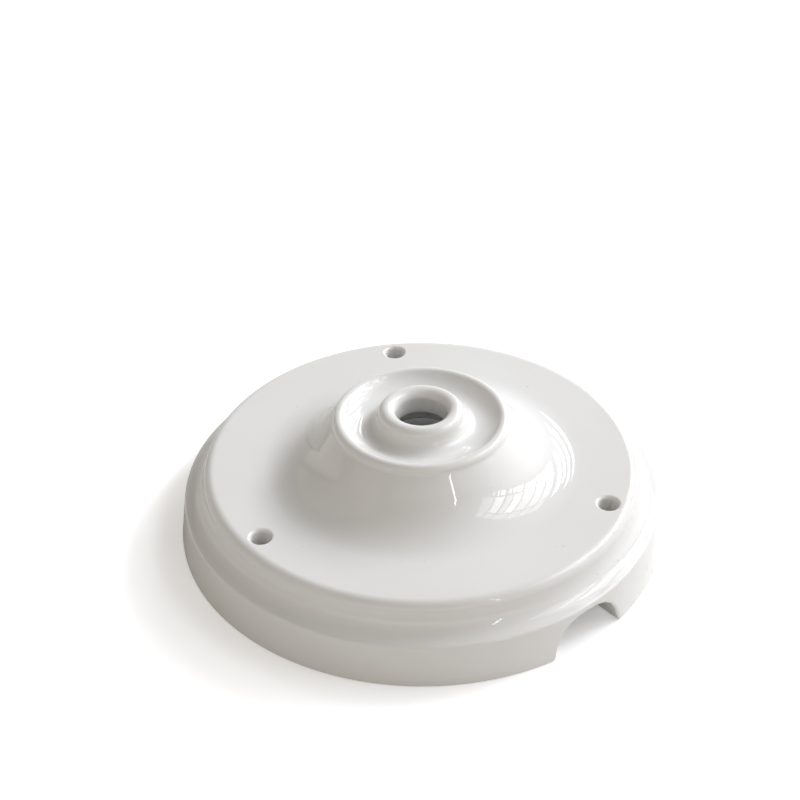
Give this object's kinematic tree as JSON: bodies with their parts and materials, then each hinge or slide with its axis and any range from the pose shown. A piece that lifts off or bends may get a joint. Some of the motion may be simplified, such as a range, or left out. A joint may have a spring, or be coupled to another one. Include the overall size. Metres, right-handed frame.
{
  "type": "electrical ceiling rose",
  "caption": "Round glazed porcelain ceiling rose with a bell shaped boss, bead ring, centre hole for a lamp tube, screw holes and an arched cable mouth in the rim.",
  "frame": {"origin": "centre of the rose in the plane that lies on the ceiling", "axes": "+Z along the axis, away from the ceiling; the cable mouth opens along -Y"},
  "size_m": [0.105, 0.1042, 0.03],
  "materials": {
    "porcelain": "gloss"
  },
  "bodies": {
    "root": {"rose_body": "porcelain"}
  },
  "joints": []
}
